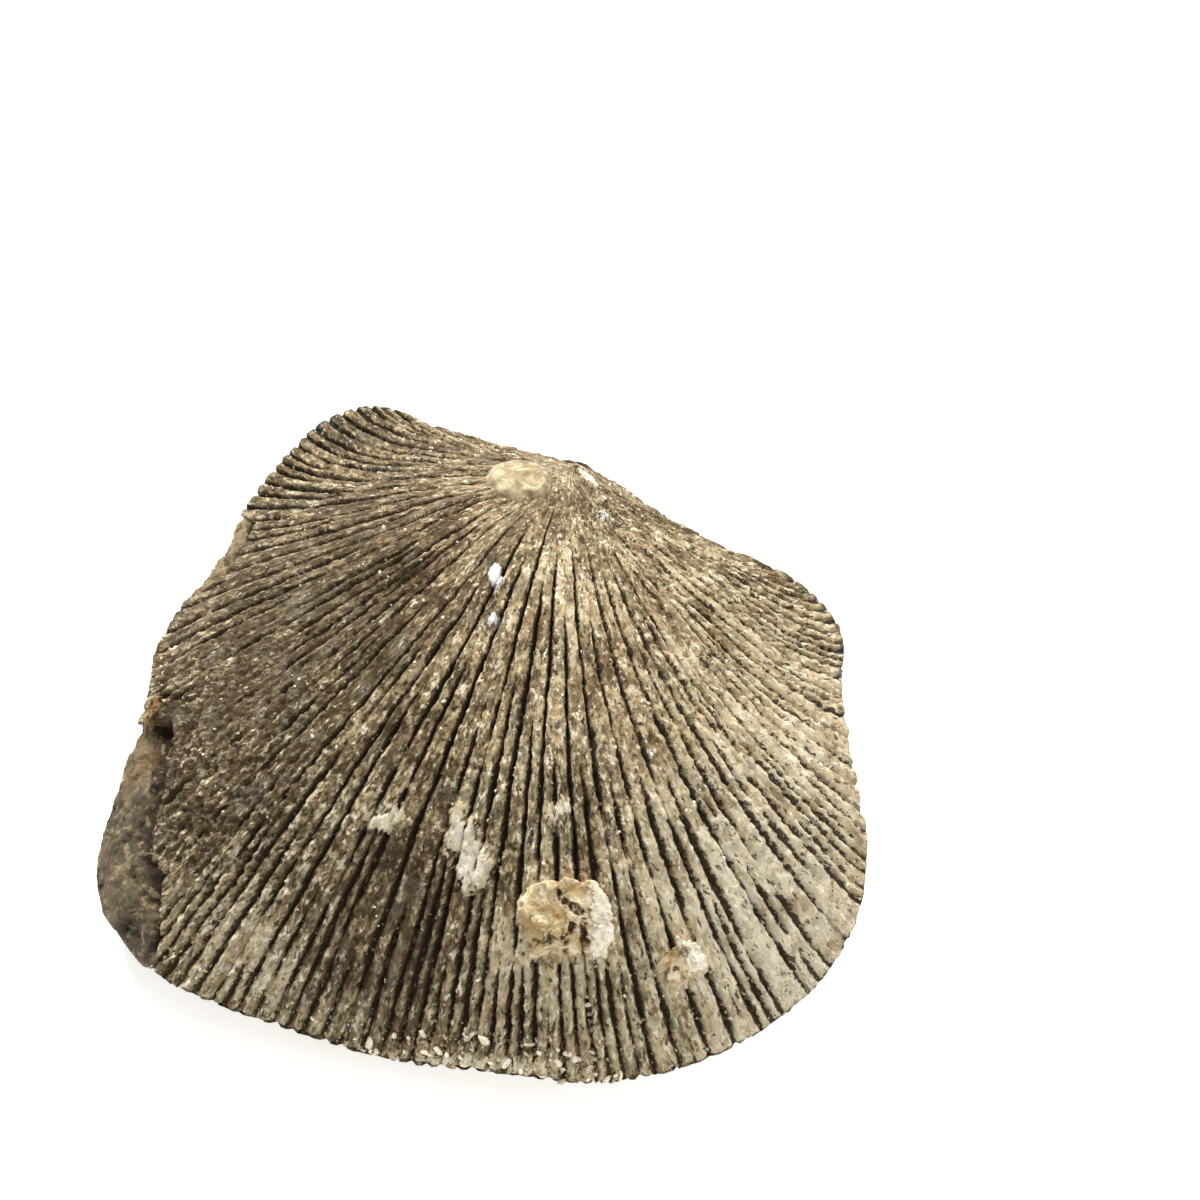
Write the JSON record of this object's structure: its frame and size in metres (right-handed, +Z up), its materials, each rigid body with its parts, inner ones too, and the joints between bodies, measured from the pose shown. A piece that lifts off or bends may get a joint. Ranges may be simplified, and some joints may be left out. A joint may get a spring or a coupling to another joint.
{
  "type": "brachiopod fossil",
  "caption": "Domed, finely ribbed fossil shell with both valves closed on rock, a chipped edge and pale mineral crusts, lying on its lower valve.",
  "frame": {"origin": "under the middle of the bounding box, at the height of the worn flat that it rests on", "axes": "+X along the hinge, from the chipped side to the whole side; the beaks are towards +Y and the front edge towards -Y; +Z up, out of the domed valve"},
  "size_m": [0.0518, 0.0462, 0.0175],
  "materials": {
    "fossil_stone": "rough, grainy tan and grey-brown limestone with pale calcite crusts"
  },
  "bodies": {
    "root": {"brachiopod": "fossil_stone"}
  },
  "joints": []
}
